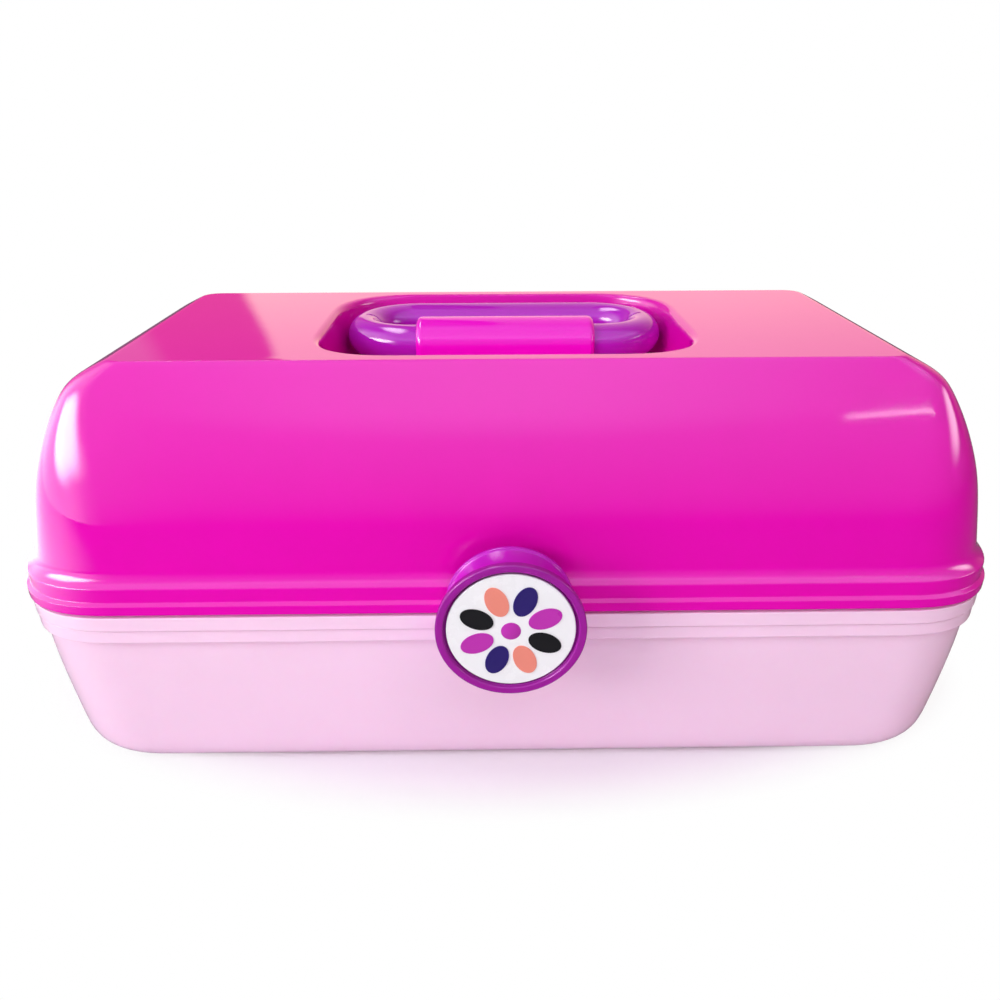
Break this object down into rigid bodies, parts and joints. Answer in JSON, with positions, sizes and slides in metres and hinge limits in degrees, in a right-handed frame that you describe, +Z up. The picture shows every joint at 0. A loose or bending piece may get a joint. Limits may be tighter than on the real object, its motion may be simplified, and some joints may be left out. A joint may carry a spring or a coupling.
{
  "type": "makeup storage case",
  "caption": "Hinged-lid make-up case with a folding carry handle in a well, a round drum latch, a mirror in the lid and a divided tray that lifts as the lid opens.",
  "frame": {"origin": "on the ground under the centre of the case's body; the latch stands out in front of it", "axes": "+X to the right along the length, -Y to the front, +Z up"},
  "size_m": [0.3288, 0.1854, 0.1481],
  "materials": {
    "base_plastic": "gloss",
    "lid_plastic": "gloss",
    "handle_plastic": "gloss",
    "latch_plastic": "gloss",
    "disc_plastic": "gloss",
    "tray_plastic": "gloss",
    "mirror": "polished",
    "steel": "satin"
  },
  "bodies": {
    "base": {"base_shell": "base_plastic", "hinge_pin_left": "steel", "hinge_pin_right": "steel", "arm_base_pin_left": "steel", "arm_base_pin_right": "steel"},
    "lid": {"lid_shell": "lid_plastic", "handle_saddle": "lid_plastic", "mirror_frame": "lid_plastic", "mirror_glass": "mirror", "mirror_screws": "steel", "tray_lid_pin_left": "steel", "tray_lid_pin_right": "steel"},
    "handle": {"handle": "handle_plastic"},
    "latch": {"latch_body": "latch_plastic", "latch_disc": "disc_plastic", "latch_pin": "steel"},
    "tray": {"tray": "tray_plastic", "arm_tray_pin_left": "steel", "arm_tray_pin_right": "steel"},
    "arm_left": {"tray_arm_left": "tray_plastic"},
    "arm_right": {"tray_arm_right": "tray_plastic"}
  },
  "joints": [
    {"name": "lid_hinge", "type": "hinge", "parent": "base", "child": "lid", "pos_m": [0, 0.0842, 0.0711], "axis": [-1, 0, 0], "range_deg": [0, 100]},
    {"name": "handle_fold", "type": "hinge", "parent": "lid", "child": "handle", "pos_m": [0, 0, 0.138], "axis": [1, 0, 0], "range_deg": [0, 95]},
    {"name": "latch_swing", "type": "hinge", "parent": "base", "child": "latch", "pos_m": [0, -0.086, 0.0615], "axis": [1, 0, 0], "range_deg": [0, 55]},
    {"name": "tray_pivot", "type": "hinge", "parent": "lid", "child": "tray", "pos_m": [0, 0.0342, 0.0811], "axis": [-1, 0, 0], "range_deg": [-100, 0]},
    {"name": "arm_left_pivot", "type": "hinge", "parent": "base", "child": "arm_left", "pos_m": [0, 0.0242, 0.0571], "axis": [-1, 0, 0], "range_deg": [0, 100]},
    {"name": "arm_right_pivot", "type": "hinge", "parent": "base", "child": "arm_right", "pos_m": [0, 0.0242, 0.0571], "axis": [-1, 0, 0], "range_deg": [0, 100]}
  ],
  "couplings": [
    {"joint": "tray_pivot", "follows": "lid_hinge", "ratio": -1},
    {"joint": "arm_left_pivot", "follows": "lid_hinge", "ratio": 1},
    {"joint": "arm_right_pivot", "follows": "lid_hinge", "ratio": 1}
  ]
}
